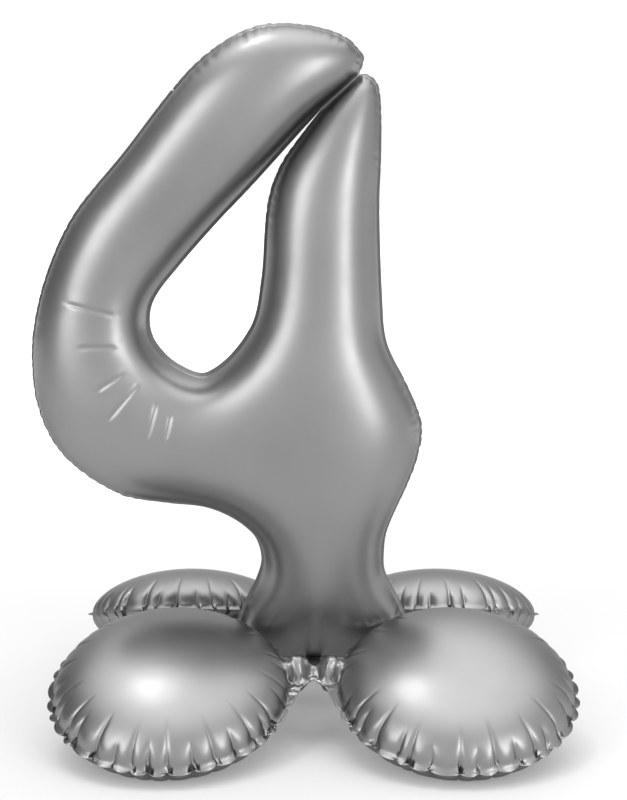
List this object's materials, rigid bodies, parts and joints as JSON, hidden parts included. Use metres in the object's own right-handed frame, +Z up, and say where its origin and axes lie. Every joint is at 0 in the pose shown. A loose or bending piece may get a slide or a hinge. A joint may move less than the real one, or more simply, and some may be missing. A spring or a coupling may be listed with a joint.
{
  "type": "foil number balloon",
  "caption": "Air-filled satin silver foil balloon in the shape of the numeral four, standing on foil pillow feet that fold about its tail.",
  "frame": {"origin": "middle of the whole object's footprint, on the floor", "axes": "+Z up, the numeral reads correctly from -Y, +X to the reader's right"},
  "size_m": [0.5626, 0.5004, 0.72],
  "materials": {
    "satin_foil": "satin metallised film, brushed-looking silver with a soft sheen",
    "valve_film": "thin clear film",
    "adhesive_pad": "clear double-sided adhesive"
  },
  "bodies": {
    "numeral": {"number_front_foil": "satin_foil", "number_back_foil": "satin_foil", "number_valve_front_film": "valve_film", "number_valve_back_film": "valve_film", "front_joining_pad": "adhesive_pad", "rear_joining_pad": "adhesive_pad"},
    "front_feet": {"front_feet_upper_foil": "satin_foil", "front_feet_lower_foil": "satin_foil", "front_feet_valve_upper_film": "valve_film", "front_feet_valve_lower_film": "valve_film"},
    "rear_feet": {"rear_feet_upper_foil": "satin_foil", "rear_feet_lower_foil": "satin_foil", "rear_feet_valve_upper_film": "valve_film", "rear_feet_valve_lower_film": "valve_film"}
  },
  "joints": [
    {"name": "front_feet_swing", "type": "hinge", "parent": "numeral", "child": "front_feet", "pos_m": [0.01674, -0.00455, 0.0465], "axis": [1, 0, 0], "range_deg": [0, 45]},
    {"name": "rear_feet_swing", "type": "hinge", "parent": "numeral", "child": "rear_feet", "pos_m": [0.01674, 0.00455, 0.0465], "axis": [-1, 0, 0], "range_deg": [0, 45]}
  ]
}
